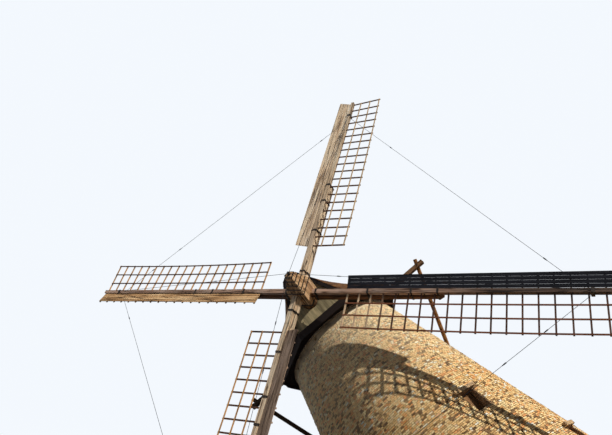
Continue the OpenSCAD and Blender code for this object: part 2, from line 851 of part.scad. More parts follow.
// An iron clamp's outline across the arm: wide round the stock, narrow round the whip
module clamp_outline(x, grow) {
  stock_y = stock_half(x - clamp_w) + seat + grow;
  whip_y = whip_half(x - clamp_w) + seat + grow;
  deep = stock_d + 2 * seat + 2 * grow;
  translate([-stock_back - seat - grow, -stock_y]) square([deep, 2 * stock_y]);
  translate([-stock_back - seat - grow, -whip_y]) square([deep + whip_d, 2 * whip_y]);
}

module clamp(k, x) {
  on_sail(k) translate([x - clamp_w / 2, 0, 0]) rotate([90, 0, 90]) rotate([0, 0, 90]) mirror([0, 1, 0])
    difference() {
      linear_extrude(clamp_w) clamp_outline(x, clamp_t);
      translate([0, 0, -eps]) linear_extrude(clamp_w + 2 * eps) clamp_outline(x, 0);
    }
}

module stock_clamps() {
  color("dimgray") for (k = [0 : 3]) {
    clamp(k, poll_back + heel_clamps[k]);
    for (x = clamp_at) clamp(k, x);
  }
}

// A straight-sided strip through the points [x, y, z], with a level rectangular section
module strip(path, w, t) {
  n = len(path);
  points = [for (q = path, c = [[-1, -1], [1, -1], [1, 1], [-1, 1]])
    [q[0], q[1] + c[0] * w / 2, q[2] + c[1] * t / 2]];
  sides = [for (s = [0 : n - 2], i = [0 : 3])
    [s * 4 + i, (s + 1) * 4 + i, (s + 1) * 4 + (i + 1) % 4, s * 4 + (i + 1) % 4]];
  ends = [[0, 1, 2, 3], [for (i = [3 : -1 : 0]) (n - 1) * 4 + i]];
  polyhedron(points, concat(sides, ends), convexity = 4);
}

module lattice(k) {
  on_sail(k) union() {
    for (i = [0 : bar_count - 1]) bar_cut(i, 0);
    for (j = [1 : lath_count]) {
      w = sail_reach * j / lath_count;
      strip([for (i = [-lath_past : 1 : bar_count])
        let (s = min(i, bar_count - 1 + lath_past), a = weather(s))
          [first_bar + s * bar_pitch, -w * cos(a), -w * sin(a) + bar_t / 2]], lath_w, lath_t);
    }
  }
}

module lattice_a() { color("chocolate") lattice(0); }
module lattice_d() { color("chocolate") lattice(1); }
module lattice_c() { color("chocolate") lattice(2); }
module lattice_b() { color("chocolate") lattice(3); }

plank_w = (board_w - (plank_count - 1) * plank_gap) / plank_count;
board_start = first_bar - bar_w;
board_l = last_bar - first_bar + 2 * bar_w;

// The first plank lies parallel to the sail and clears the clamps at the whip's wide end
plank_from = whip_half(first_bar) - whip_half(last_bar) + clamp_t + plank_t * sin(board_slope) + board_gap;

module windboard(k) {
  on_sail(k) difference() {
    translate([0, whip_half(last_bar), bar_t / 2]) rotate([board_slope, 0, 0]) union() {
      for (j = [0 : plank_count - 1])
        translate([board_start, plank_from + j * (plank_w + plank_gap), 0])
          cube([board_l, plank_w, plank_t]);
      for (i = [0 : bar_count - 1])
        translate([first_bar + i * bar_pitch - bar_w / 2, -bar_stop, eps - bar_t])
          cube([bar_w, board_w + plank_from + bar_nubs[k] + bar_stop, bar_t]);
    }
    translate([0, 0, -whip_d]) linear_extrude(2 * whip_d) polygon([
      [0, -big], [whip_end + big, -big],
      [whip_end + big, whip_half(whip_end + big) + hole_gap], [0, whip_half(0) + hole_gap]
    ]);
  }
}

module windboard_a() { color("tan") windboard(0); }
module windboard_d() { color("darkslategray") windboard(1); }
module windboard_c() { color("rosybrown") windboard(2); }
module windboard_b() { color("sienna") windboard(3); }

module collar(k, grow) {
  half = whip_half(stay_at - collar_w / 2) + seat;
  reach = half + collar_t + grow;
  on_sail(k) translate([stay_at - collar_w / 2, 0, 0]) {
    translate([-grow, -reach, -whip_d / 2 - seat - collar_lug - grow])
      cube([collar_w + 2 * grow, 2 * reach, whip_d + 2 * seat + collar_lug + collar_t + 2 * grow]);
  }
}

module stay_collars() {
  color("dimgray") {
    for (k = [0 : 3]) difference() {
      collar(k, 0);
      on_sail(k) translate([0, 0, -whip_d / 2 - seat]) linear_extrude(whip_d + 2 * seat) polygon([
        [whip_start, -whip_half(whip_start) - seat], [whip_end, -whip_half(whip_end) - seat],
        [whip_end, whip_half(whip_end) + seat], [whip_start, whip_half(whip_start) + seat]
      ]);
    }
    stay_stem(0);
  }
}

module stay_stem(grow) {
  at_hub() translate([0, 0, poll_fore + seat - grow])
    cylinder(r = stem_r + grow, h = stem_l + 2 * grow, $fn = 8);
}

// A stay collar's middle, in the sails' frame
function collar_point(k, z) =
  let (b = 90 - sail_turn - 90 * k) [stay_at * cos(b), stay_at * sin(b), sail_plane[k] + z];

module front_stays() {
  color("black") difference() {
    at_hub() for (k = [0 : 3])
      pole([0, 0, poll_fore + stem_l / 2], collar_point(k, whip_d / 2 + seat + collar_t / 2), stay_r, 8);
    stay_stem(seat);
    for (k = [0 : 3]) collar(k, seat);
  }
}

module rim_stays() {
  color("black") difference() {
    at_hub() for (k = [0 : 3])
      pole(
        collar_point(k, -whip_d / 2 - collar_lug + 3 * stay_r),
        collar_point((k + 1) % 4, -whip_d / 2 - collar_lug + 3 * stay_r),
        stay_r, 8
      );
    for (k = [0 : 3]) collar(k, seat);
  }
}

wall_front_right();
wall_right();
wall_rear_right();
wall_rear_left();
wall_left();
wall_front_left();
mortar_band();
curb_ring();
ground_floor();
upper_floors();
window_frames();
window_leaves();
window_lintels();
window_sills();
door_frame();
door_leaf();
door_lintel();
cap_floor_ring();
eave_board();
front_boarding();
rear_boarding();
roof_left();
roof_right();
ridge_board();
verge_boards();
weather_beam();
tail_bearing_beam();
spreader_beam();
tail_pole();
tail_braces();
windshaft();
poll_end();
poll_bands();
stock_upper_left();
stock_upper_right();
sail_whips();
stock_clamps();
lattice_a();
lattice_b();
lattice_c();
lattice_d();
windboard_a();
windboard_b();
windboard_c();
windboard_d();
front_stays();
rim_stays();
stay_collars();
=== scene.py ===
import math
import random
import bmesh
import bpy
from mathutils import Matrix, Vector


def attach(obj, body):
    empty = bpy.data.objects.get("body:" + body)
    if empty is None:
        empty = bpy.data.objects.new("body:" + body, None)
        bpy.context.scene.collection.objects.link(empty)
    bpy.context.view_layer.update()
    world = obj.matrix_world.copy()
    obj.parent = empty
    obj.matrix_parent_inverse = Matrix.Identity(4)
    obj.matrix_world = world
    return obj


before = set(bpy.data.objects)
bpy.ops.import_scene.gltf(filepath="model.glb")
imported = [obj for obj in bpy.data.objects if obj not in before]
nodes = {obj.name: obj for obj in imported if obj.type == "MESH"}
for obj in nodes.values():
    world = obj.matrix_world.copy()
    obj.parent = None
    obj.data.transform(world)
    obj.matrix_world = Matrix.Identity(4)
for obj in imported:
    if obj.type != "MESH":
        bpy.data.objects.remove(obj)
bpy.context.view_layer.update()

# Viewpoint. Someone stands 18 m in front of the mill with their eyes 1.6 m
# above the ground and looks up at the cap, with the head leaned over.
eye = Vector((-0.5417, -17.609, 1.5738))
look_right = Vector((0.768728, 0.330025, -0.547851))
look_down = Vector((-0.626884, 0.558599, -0.543124))
look_ahead = Vector((0.126785, 0.760954, 0.636298))
camera_data = bpy.data.cameras.new("viewpoint")
camera_data.sensor_fit = "HORIZONTAL"
camera_data.sensor_width = 36.0
camera_data.lens = 30.36
camera_data.clip_end = 400.0
camera = bpy.data.objects.new("viewpoint", camera_data)
bpy.context.scene.collection.objects.link(camera)
camera.matrix_world = Matrix.Translation(eye) @ Matrix(
    (look_right, -look_down, -look_ahead)).transposed().to_4x4()
bpy.context.scene.camera = camera


# Ground and light. A pale matt floor that throws back little light, a low warm
# key light from the right (+X), where the sun stood, and a weak broad one from the left.
def wire(tree, source, target):
    tree.links.new(source, target)


def feed(tree, socket, value):
    """Gives a socket a number, a colour of three numbers or another node's output."""
    if isinstance(value, (int, float)):
        socket.default_value = value
    elif isinstance(value, tuple):
        socket.default_value = (*value, 1)
    else:
        wire(tree, value, socket)


def work_out(tree, operation, first, second=None):
    """The result of one operation on one or two values."""
    figure = tree.nodes.new("ShaderNodeMath")
    figure.operation = operation
    feed(tree, figure.inputs[0], first)
    if second is not None:
        feed(tree, figure.inputs[1], second)
    return figure.outputs[0]


def mix_colours(tree, amount, first, second, blend="MIX"):
    mixer = tree.nodes.new("ShaderNodeMix")
    mixer.data_type = "RGBA"
    mixer.blend_type = blend
    for name, value in (("Factor", amount), ("A", first), ("B", second)):
        feed(tree, mixer.inputs[name], value)
    return mixer.outputs["Result"]


floor_radius, floor_drop, floor_glow = 60.0, 0.002, 0.40
floor_felt, floor_seen = (0.20, 0.20, 0.19), (1.0, 1.0, 0.99)
ground_mesh = bmesh.new()
bmesh.ops.create_circle(ground_mesh, cap_ends=True, segments=96, radius=floor_radius,
                        matrix=Matrix.Translation((0, 0, -floor_drop)))
ground_data = bpy.data.meshes.new("ground")
ground_mesh.to_mesh(ground_data)
ground_mesh.free()
ground = bpy.data.objects.new("ground", ground_data)
bpy.context.scene.collection.objects.link(ground)
ground_paint = bpy.data.materials.new("pale_floor")
ground_paint.use_nodes = True
paint = ground_paint.node_tree
floor_shader = paint.nodes["Principled BSDF"]
floor_shader.inputs["Roughness"].default_value = 0.9
floor_shader.inputs["Emission Color"].default_value = (1, 1, 1, 1)
seen_by_camera = paint.nodes.new("ShaderNodeLightPath").outputs["Is Camera Ray"]
wire(paint, work_out(paint, "MULTIPLY", seen_by_camera, floor_glow),
     floor_shader.inputs["Emission Strength"])
wire(paint, mix_colours(paint, seen_by_camera, floor_felt, floor_seen),
     floor_shader.inputs["Base Color"])
ground_data.materials.append(ground_paint)

for lamp_name, strength, spread, toward, tint in (
        ("key_light", 3.4, 0.5, (0.925, -0.325, 0.195), (1.0, 0.96, 0.90)),
        ("fill_light", 0.10, 60.0, (-0.75, -0.60, 0.25), (0.86, 0.92, 1.0))):
    lamp = bpy.data.lights.new(lamp_name, "SUN")
    lamp.energy = strength
    lamp.angle = math.radians(spread)
    lamp.color = tint
    lamp_object = bpy.data.objects.new(lamp_name, lamp)
    bpy.context.scene.collection.objects.link(lamp_object)
    lamp_object.matrix_world = Vector(toward).to_track_quat("Z", "Y").to_matrix().to_4x4()

surround = bpy.data.worlds.new("surround")
bpy.context.scene.world = surround
surround.use_nodes = True
sky = surround.node_tree
sky.nodes.clear()
ray = sky.nodes.new("ShaderNodeLightPath")
choose = sky.nodes.new("ShaderNodeMixShader")
wire(sky, work_out(sky, "MAXIMUM", ray.outputs["Is Camera Ray"], ray.outputs["Is Glossy Ray"]),
     choose.inputs[0])
sky_felt, sky_seen = ((0.75, 0.82, 1.0), 0.16), ((0.90, 0.94, 0.99), 1.0)
for socket, (colour, strength) in ((choose.inputs[1], sky_felt), (choose.inputs[2], sky_seen)):
    background = sky.nodes.new("ShaderNodeBackground")
    feed(sky, background.inputs["Color"], colour)
    feed(sky, background.inputs["Strength"], strength)
    wire(sky, background.outputs[0], socket)
sky_out = sky.nodes.new("ShaderNodeOutputWorld")
wire(sky, choose.outputs[0], sky_out.inputs["Surface"])
bpy.context.scene.view_settings.view_transform = "Standard"


# Tower wall. The solid wall segments are the lime mortar and rubble behind
# the bricks: sandy, lumpy, washed out and stained darker in patches.
def new_material(name, roughness):
    material = bpy.data.materials.new(name)
    material.use_nodes = True
    shader = material.node_tree.nodes["Principled BSDF"]
    shader.inputs["Roughness"].default_value = roughness
    shader.inputs["Specular IOR Level"].default_value = 0.25
    return material, material.node_tree, shader


def object_place(tree, centre=(0, 0, 0), turn=(0, 0, 0)):
    where = tree.nodes.new("ShaderNodeTexCoord")
    placed = tree.nodes.new("ShaderNodeMapping")
    placed.vector_type = "TEXTURE"
    placed.inputs["Location"].default_value = centre
    placed.inputs["Rotation"].default_value = turn
    wire(tree, where.outputs["Object"], placed.inputs["Vector"])
    return placed.outputs["Vector"]


def stretched_noise(tree, place, stretch, detail=4.0, roughness=0.55):
    scaled = tree.nodes.new("ShaderNodeMapping")
    scaled.inputs["Scale"].default_value = stretch
    wire(tree, place, scaled.inputs["Vector"])
    noise = tree.nodes.new("ShaderNodeTexNoise")
    noise.inputs["Scale"].default_value = 1.0
    noise.inputs["Detail"].default_value = detail
    noise.inputs["Roughness"].default_value = roughness
    wire(tree, scaled.outputs["Vector"], noise.inputs["Vector"])
    return noise.outputs["Fac"]


def colour_ramp(tree, value, stops):
    ramp = tree.nodes.new("ShaderNodeValToRGB")
    wire(tree, value, ramp.inputs["Fac"])
    steps = ramp.color_ramp.elements
    while len(steps) < len(stops):
        steps.new(0.5)
    for step, (place, colour) in zip(steps, stops):
        step.position = place
        step.color = (*colour, 1)
    return ramp.outputs["Color"]


def share_above(tree, value, low, high, most):
    """Nothing where the value is under low, rising to the share most at high."""
    return colour_ramp(tree, value, ((low, (0.0,) * 3), (high, (most,) * 3)))


def raise_surface(tree, shader, height, strength, distance):
    bump = tree.nodes.new("ShaderNodeBump")
    bump.inputs["Strength"].default_value = strength
    bump.inputs["Distance"].default_value = distance
    wire(tree, height, bump.inputs["Height"])
    wire(tree, bump.outputs["Normal"], shader.inputs["Normal"])


def coat(material, *names):
    """Gives the named solid pieces one material."""
    for name in names:
        nodes[name].data.materials.clear()
        nodes[name].data.materials.append(material)


lime_mortar, tree, shader = new_material("lime_mortar", 0.95)
place = object_place(tree)
grains = stretched_noise(tree, place, (38, 38, 38), 5)
lumps = stretched_noise(tree, place, (7, 7, 9), 4)
stains = stretched_noise(tree, place, (0.55, 0.55, 0.35), 3)
sandy = colour_ramp(tree, grains, (
    (0.30, (0.12, 0.075, 0.038)), (0.52, (0.24, 0.155, 0.080)), (0.72, (0.40, 0.27, 0.14))))
washed = mix_colours(tree, share_above(tree, lumps, 0.52, 0.72, 0.7), sandy, (0.74, 0.58, 0.34))
stained = mix_colours(tree, share_above(tree, stains, 0.52, 0.74, 0.5), washed,
                      (0.10, 0.075, 0.05))
wire(tree, stained, shader.inputs["Base Color"])
raise_surface(tree, shader, mix_colours(tree, 0.5, grains, lumps), 0.7, 0.02)
coat(lime_mortar, "wall_front_right", "wall_right", "wall_rear_right", "wall_rear_left",
     "wall_left", "wall_front_left")

# Brickwork. Small hand-made bricks and thin stones in level courses, laid in
# lime, each a little out of line; they stop against the windows and the door.
tower_height, wall_top, top_radius, batter = 10.3, 10.08, 2.15, 0.2
brick_length, brick_height, joint, bed_depth = 0.108, 0.054, 0.0075, 0.018
side_gap, level_gap, thinnest_cut = 0.006, 0.004, 0.022
windows = ((32.5, 4.97, 0.68), (63.0, 2.62, 0.86), (212.5, 4.97, 0.68), (243.0, 2.62, 0.86))
window_width, window_sill, window_head = 0.52, (0.055, 0.05), (0.11, 0.11)
door_turn, door_width, door_top, door_head = 135.0, 1.05, 2.15, (0.2, 0.16)
openings = [(turn, foot, foot + tall, window_width / 2, window_sill, window_head)
            for turn, foot, tall in windows]
openings.append((door_turn, 0.0, door_top, door_width / 2, (0.0, 0.0), door_head))


def wall_radius(z):
    return top_radius + batter * (tower_height - z)


def set_piece(name, mesh, body, material):
    data = bpy.data.meshes.new(name)
    mesh.to_mesh(data)
    mesh.free()
    data.materials.append(material)
    piece = bpy.data.objects.new(name, data)
    bpy.context.scene.collection.objects.link(piece)
    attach(piece, body)


def free_runs(low, high, radius):
    """Stretches of one course, each (first angle, last angle, foot, top), clear of the openings."""
    cuts = []
    for turn, foot, top, half, (sill_past, sill), (head_past, head) in openings:
        if high <= foot - sill or low >= top + head:
            continue
        past = sill_past if low < foot else (head_past if high > top else 0.0)
        reach = math.asin((half + past + side_gap) / radius)
        middle = math.radians(turn - 90.0) % (2 * math.pi)
        cuts.append((middle - reach, middle + reach, foot - sill, top + head))
    if not cuts:
        start = random.uniform(0, 2 * math.pi)
        return [(start, start + 2 * math.pi, low, high)]
    cuts.sort()
    runs = []
    for i, (first, last, foot, top) in enumerate(cuts):
        following = cuts[(i + 1) % len(cuts)][0]
        runs.append((last, following if following > last else following + 2 * math.pi, low, high))
        if foot - low > thinnest_cut:
            runs.append((first, last, low, foot - level_gap))
        if high - top > thinnest_cut:
            runs.append((first, last, top + level_gap, high))
    return runs


def parts_of(tree, place):
    """The outputs X, Y and Z of a place."""
    parts = tree.nodes.new("ShaderNodeSeparateXYZ")
    wire(tree, place, parts.inputs[0])
    return parts.outputs


def rise(tree, value, start, end, low=0.0, high=1.0):
    """Goes evenly from low to high while the value goes from start to end."""
    line = tree.nodes.new("ShaderNodeMapRange")
    for name, number in (("From Min", start), ("From Max", end), ("To Min", low), ("To Max", high)):
        line.inputs[name].default_value = number
    wire(tree, value, line.inputs["Value"])
    return line.outputs["Result"]


fired_brick, tree, shader = new_material("weathered_brick", 0.92)
place = object_place(tree)
tone = tree.nodes.new("ShaderNodeAttribute")
tone.attribute_name = "brick_tone"
clay = colour_ramp(tree, tone.outputs["Fac"], (
    (0.00, (0.20, 0.115, 0.055)), (0.14, (0.42, 0.25, 0.11)), (0.22, (0.80, 0.50, 0.20)),
    (0.40, (1.00, 0.68, 0.30)), (0.62, (1.00, 0.82, 0.45)), (0.78, (1.00, 0.64, 0.27)),
    (0.87, (0.92, 0.45, 0.16)), (0.92, (0.84, 0.37, 0.13)), (0.95, (1.00, 0.90, 0.64)),
    (1.00, (1.00, 0.96, 0.80))))
pits = stretched_noise(tree, place, (46, 46, 46), 5, 0.65)
smear = stretched_noise(tree, place, (6.5, 6.5, 9.0), 5, 0.6)
weather = stretched_noise(tree, place, (0.6, 0.6, 0.4), 4)
pitted = colour_ramp(tree, pits, (
    (0.32, (0.42, 0.34, 0.26)), (0.46, (1, 1, 1)), (0.75, (1.14, 1.12, 1.08))))
worn = mix_colours(tree, 1.0, clay, pitted, "MULTIPLY")
limed = mix_colours(tree, share_above(tree, smear, 0.58, 0.74, 0.35), worn, (1.00, 0.80, 0.48))
paler_from, paler_to, palest = 6.0, 9.8, 0.45
higher = rise(tree, parts_of(tree, place)["Z"], paler_from, paler_to, high=palest)
sunned = mix_colours(tree, higher, limed, (1.00, 0.90, 0.64))
wire(tree, mix_colours(tree, share_above(tree, weather, 0.55, 0.78, 0.30), sunned,
                       (0.42, 0.28, 0.15)), shader.inputs["Base Color"])
raise_surface(tree, shader, pits, 0.8, 0.012)

random.seed(41)
bands, lowest_bed, least_course = 4, 0.004, 0.03
lowest_course, highest_course, shortest_brick, longest_brick = 0.9, 1.12, 0.92, 1.08
slide, least_out, most_out, usual_out, tilt, drop = 0.029, 0.002, 0.024, 0.010, 0.004, 0.003
course_tops = [lowest_bed]
while course_tops[-1] < wall_top - least_course:
    course_height = brick_height * random.uniform(lowest_course, highest_course)
    course_tops.append(min(wall_top, course_tops[-1] + course_height))
courses = len(course_tops) - 1
for band in range(bands):
    bricks = bmesh.new()
    for course in range(band * courses // bands, (band + 1) * courses // bands):
        low, high = course_tops[course], course_tops[course + 1]
        row = bmesh.new()
        # An upright edge is spun round the tower, one step a brick; the joints then slide.
        for start, end, foot, top in free_runs(low, high, wall_radius((low + high) / 2)):
            foot_ring, top_ring = wall_radius(foot) - bed_depth, wall_radius(top) - bed_depth
            length = brick_length * random.uniform(shortest_brick, longest_brick)
            count = max(1, round((end - start) * foot_ring / length))
            ends = [row.verts.new((r * math.cos(start), r * math.sin(start), z))
                    for r, z in ((foot_ring, foot), (top_ring, top))]
            upright = row.edges.new(ends)
            spun = bmesh.ops.spin(row, geom=ends + [upright], cent=(0, 0, 0), axis=(0, 0, 1),
                                  dvec=(0, 0, 0), angle=end - start, steps=count)
            kept = set(ends) | {g for g in spun["geom_last"] if isinstance(g, bmesh.types.BMVert)}
            for edge in row.edges:
                foot_corner, top_corner = edge.verts
                level = abs(foot_corner.co.z - top_corner.co.z) <= 1e-4
                if level or edge.tag or kept & {foot_corner, top_corner}:
                    continue
                moved = Matrix.Rotation(random.uniform(-slide, slide) / foot_ring, 4, "Z")
                for corner in edge.verts:
                    corner.co = moved @ corner.co
                edge.tag = True
        row_data = bpy.data.meshes.new("row")
        row.to_mesh(row_data)
        row.free()
        bricks.from_mesh(row_data)
        bpy.data.meshes.remove(row_data)
    tone_layer = bricks.faces.layers.float.new("brick_tone")
    faces = list(bricks.faces)
    for face in faces:
        outward = face.calc_center_median()
        if face.normal.dot((outward.x, outward.y, 0)) < 0:
            face.normal_flip()
        face[tone_layer] = random.random()
    # Each brick's face shrinks by the joint and comes forward out of its bed.
    bmesh.ops.inset_individual(bricks, faces=faces, thickness=joint, depth=bed_depth,
                               use_even_offset=True)
    for face in faces:
        outward = face.calc_center_median()
        outward = Vector((outward.x, outward.y, 0)).normalized()
        step_out = random.triangular(least_out, most_out, usual_out)
        for corner in face.verts:
            corner.co += (outward * (step_out + random.uniform(-tilt, tilt))
                          + Vector((0, 0, random.uniform(-drop, drop))))
    set_piece(f"bricks_{band + 1}", bricks, "tower", fired_brick)

# Mortar band and ground floor. A smooth band of fine mortar closes the wall
# under the curb; rain has left it patchy and streaked.
grey_mortar, tree, shader = new_material("grey_mortar", 0.93)
place = object_place(tree)
cloud = stretched_noise(tree, place, (1.6, 1.6, 2.4), 5, 0.6)
streak = stretched_noise(tree, place, (9, 9, 0.8), 4, 0.6)
fine = stretched_noise(tree, place, (30, 30, 30), 4)
plaster = colour_ramp(tree, cloud, (
    (0.30, (0.42, 0.31, 0.20)), (0.46, (0.78, 0.61, 0.38)), (0.7, (0.98, 0.82, 0.56))))
wire(tree, mix_colours(tree, share_above(tree, streak, 0.54, 0.74, 0.5), plaster,
                       (0.30, 0.20, 0.12)), shader.inputs["Base Color"])
raise_surface(tree, shader, mix_colours(tree, 0.5, cloud, fine), 0.5, 0.02)
coat(grey_mortar, "mortar_band", "ground_floor")


# Timber. Every beam, board and pole is old softwood that was never repainted:
# bleached where the sun reaches, brown below, split along the grain.
def old_timber(name, pale, middle, deep, place_of, fine=1.0, cracks=0.8, grey=0.35, lift=0.7,
               other=None, shade=None):
    """Split wood in three tones; with other, place_of also gives a mask for three other tones."""
    material, tree, shader = new_material(name, 0.86)
    place = place_of(tree)
    if other:
        place, on_other = place
    bands = stretched_noise(tree, place, (0.55 * fine, 7 * fine, 7 * fine), 5, 0.6)
    grain = stretched_noise(tree, place, (1.6 * fine, 42 * fine, 42 * fine), 4, 0.6)
    patches = stretched_noise(tree, place, (0.9, 1.6, 1.6), 4, 0.6)
    splits = stretched_noise(tree, place, (0.42 * fine, 11 * fine, 11 * fine), 3, 0.5)
    wood = colour_ramp(tree, bands, ((0.30, deep), (0.48, middle), (0.68, pale)))
    if other:
        second = colour_ramp(tree, bands, ((0.30, other[2]), (0.48, other[1]), (0.68, other[0])))
        wood = mix_colours(tree, on_other, wood, second)
    fibres = colour_ramp(tree, grain, (
        (0.3, (0.62, 0.6, 0.58)), (0.52, (1, 1, 1)), (0.75, (1.14, 1.12, 1.1))))
    wood = mix_colours(tree, 1.0, wood, fibres, "MULTIPLY")
    silver = tuple(0.55 * c + 0.45 * sum(middle) / 3 for c in middle)
    wood = mix_colours(tree, share_above(tree, patches, 0.45, 0.7, grey), wood, silver)
    if shade:
        wood = mix_colours(tree, 1.0, wood, shade(tree), "MULTIPLY")
    whole, open_split = (1, 1, 1), (0.12, 0.1, 0.09)
    split = colour_ramp(tree, splits, (
        (0.455, whole), (0.49, open_split), (0.51, open_split), (0.54, whole)))
    wire(tree, mix_colours(tree, cracks, wood, split, "MULTIPLY"), shader.inputs["Base Color"])
    raise_surface(tree, shader, mix_colours(tree, 0.6, grain, split, "MULTIPLY"), lift, 0.012)
    return material


def grain_along_x(tree):
    return object_place(tree)


def grain_along_y(tree):
    return object_place(tree, turn=(0, 0, math.radians(90)))


def grain_along_z(tree):
    return object_place(tree, turn=(0, math.radians(90), 0))


def darker_past(place_of, axis, start, end, left):
    """A grey that falls from 1 to the share left, from start to end along an axis of a place."""
    return lambda tree: rise(tree, parts_of(tree, place_of(tree))[axis], start, end, 1.0, left)


bleached = ((1.00, 0.85, 0.62), (0.90, 0.68, 0.45), (0.40, 0.25, 0.14))
brown = ((0.40, 0.21, 0.085), (0.25, 0.125, 0.05), (0.105, 0.05, 0.022))
black = ((0.024, 0.012, 0.008), (0.013, 0.007, 0.005), (0.007, 0.004, 0.003))
coat(old_timber("floor_planks", *brown, grain_along_x), "upper_floors")


# Windows and door. Brown frames deep in the wall, leaves of upright planks,
# boards that line each window, and lintels with their ends in the masonry.
def block(mesh, place, low, high):
    """A squared piece of timber between two corners, set in the frame of the matrix place."""
    low, high = Vector(low), Vector(high)
    return bmesh.ops.create_cube(mesh, size=1.0, matrix=place @ Matrix.Translation((low + high) / 2)
                                 @ Matrix.Diagonal((*(high - low), 1)))["verts"]


def rod(mesh, start, end, radius, sides):
    start, end = Vector(start), Vector(end)
    along = (end - start).to_track_quat("Z", "Y").to_matrix().to_4x4()
    return bmesh.ops.create_cone(mesh, cap_ends=True, segments=sides, radius1=radius,
                                 radius2=radius, depth=(end - start).length,
                                 matrix=Matrix.Translation((start + end) / 2) @ along)["verts"]


frame_timber = old_timber("window_timber", *brown, grain_along_z, fine=1.6)
lintel_timber = old_timber("lintel_timber", (0.90, 0.62, 0.33), (0.72, 0.47, 0.23),
                           (0.44, 0.27, 0.13), grain_along_x, fine=1.4, cracks=0.9)
lining_timber = old_timber("lining_timber", (0.85, 0.56, 0.31), (0.62, 0.37, 0.18),
                           (0.30, 0.15, 0.065), grain_along_x, fine=1.8)
coat(frame_timber, "window_frames", "window_leaves", "door_frame", "door_leaf")
coat(lintel_timber, "window_lintels", "door_lintel")
coat(lime_mortar, "window_sills")

random.seed(7)
linings = bmesh.new()
leaf_planks = bmesh.new()
lining, lining_boards, lining_deep, lining_seam, set_back = 0.015, 7, 0.228, 0.003, 0.018
hair, seam, leaf_boards, leaf_depth, frame_width = 0.001, 0.002, 3, 0.285, 0.055
thin_leaf, thick_leaf = 0.009, 0.013
half = window_width / 2
clear = half - frame_width - 0.0003
for turn, foot, tall in windows:
    at_window = (Matrix.Rotation(math.radians(turn), 4, "Z")
                 @ Matrix.Translation((0, -wall_radius(foot + tall / 2), foot)))
    for side in (-1, 1):
        inner, outer = sorted((side * (half - lining), side * (half - hair)))
        for board in range(lining_boards):
            low, high = (seam + (tall - lining - lining_seam) * n / lining_boards
                         for n in (board, board + 1))
            for corner in block(linings, at_window, (inner, 0.0, low),
                                (outer, lining_deep, high - lining_seam)):
                place = at_window.inverted() @ corner.co
                if place.y < lining_deep / 2:
                    front = batter * (place.z - tall / 2) + set_back
                    corner.co = at_window @ Vector((place.x, front, place.z))
    block(linings, at_window, (-half + hair, batter * tall / 2 + set_back, tall - lining),
          (half - hair, lining_deep, tall - hair))
    for i in range(leaf_boards):
        left, right = (-clear + 2 * clear * n / leaf_boards for n in (i, i + 1))
        block(leaf_planks, at_window,
              (left + seam, leaf_depth - random.uniform(thin_leaf, thick_leaf), frame_width + seam),
              (right - seam, leaf_depth, tall - frame_width - seam))
door_foot, door_boards = 0.15, 6
thin_plank, thick_plank, lowest_end, highest_end = 0.012, 0.016, 0.006, 0.016
at_door = (Matrix.Rotation(math.radians(door_turn), 4, "Z")
           @ Matrix.Translation((0, -wall_radius(door_top), door_foot)))
leaf_half, leaf_top, leaf_face = 0.4347, 1.908, 0.36
for i in range(door_boards):
    left, right = (-leaf_half + 2 * leaf_half * n / door_boards for n in (i, i + 1))
    block(leaf_planks, at_door,
          (left + seam, leaf_face - random.uniform(thin_plank, thick_plank),
           random.uniform(lowest_end, highest_end)),
          (right - seam, leaf_face, leaf_top - 2 * seam))
set_piece("window_linings", linings, "tower", lining_timber)
set_piece("leaf_planks", leaf_planks, "tower", frame_timber)

# Door ironwork. Two forged strap hinges, nailed through every plank, and a
# ring to pull the door by.
forged_iron, tree, shader = new_material("forged_iron", 0.62)
shader.inputs["Metallic"].default_value = 0.5
place = object_place(tree)
rust = stretched_noise(tree, place, (16, 16, 16), 5, 0.65)
wire(tree, colour_ramp(tree, rust, (
    (0.38, (0.022, 0.019, 0.017)), (0.58, (0.048, 0.036, 0.028)), (0.76, (0.15, 0.065, 0.03)))),
     shader.inputs["Base Color"])
raise_surface(tree, shader, rust, 0.4, 0.004)
door_iron = bmesh.new()
hinge_heights, hinge_end, hinge_width = (0.42, 1.55), 0.26, 0.05
strap_front, strap_back, nail_front, nail_back, nail_radius = 0.022, 0.011, 0.027, 0.015, 0.009
for height in hinge_heights:
    block(door_iron, at_door, (-leaf_half, leaf_face - strap_front, height),
          (hinge_end, leaf_face - strap_back, height + hinge_width))
    for i in range(door_boards):
        x = -leaf_half + leaf_half / 3 * (i + 0.5)
        if x < hinge_end:
            head, point = (at_door @ Vector((x, leaf_face - y, height + hinge_width / 2))
                           for y in (nail_front, nail_back))
            rod(door_iron, head, point, nail_radius, 8)
ring_radius, ring_wire, ring_side, ring_out, ring_height = 0.05, 0.007, 0.32, 0.024, 0.98
staple_radius, staple_back, staple_front = 0.018, 0.010, -0.008
ring_at = at_door @ Matrix.Translation((ring_side, leaf_face - ring_out, ring_height))
rod(door_iron, ring_at @ Vector((0, staple_back, ring_radius)),
    ring_at @ Vector((0, staple_front, ring_radius)), staple_radius, 10)
ring = bmesh.ops.create_circle(door_iron, segments=8, radius=ring_wire,
                               matrix=ring_at @ Matrix.Translation((0, 0, ring_radius))
                               @ Matrix.Rotation(math.pi / 2, 4, "Y"))["verts"]
edges = list({edge for corner in ring for edge in corner.link_edges})
across = (ring_at.to_3x3() @ Vector((0, 1, 0))).normalized()
bmesh.ops.spin(door_iron, geom=ring + edges, cent=ring_at @ Vector((0, 0, 0)), axis=across,
               dvec=(0, 0, 0), angle=2 * math.pi, steps=24, use_merge=True)
bmesh.ops.remove_doubles(door_iron, verts=door_iron.verts, dist=0.0002)
bmesh.ops.recalc_face_normals(door_iron, faces=door_iron.faces)
set_piece("door_iron", door_iron, "tower", forged_iron)

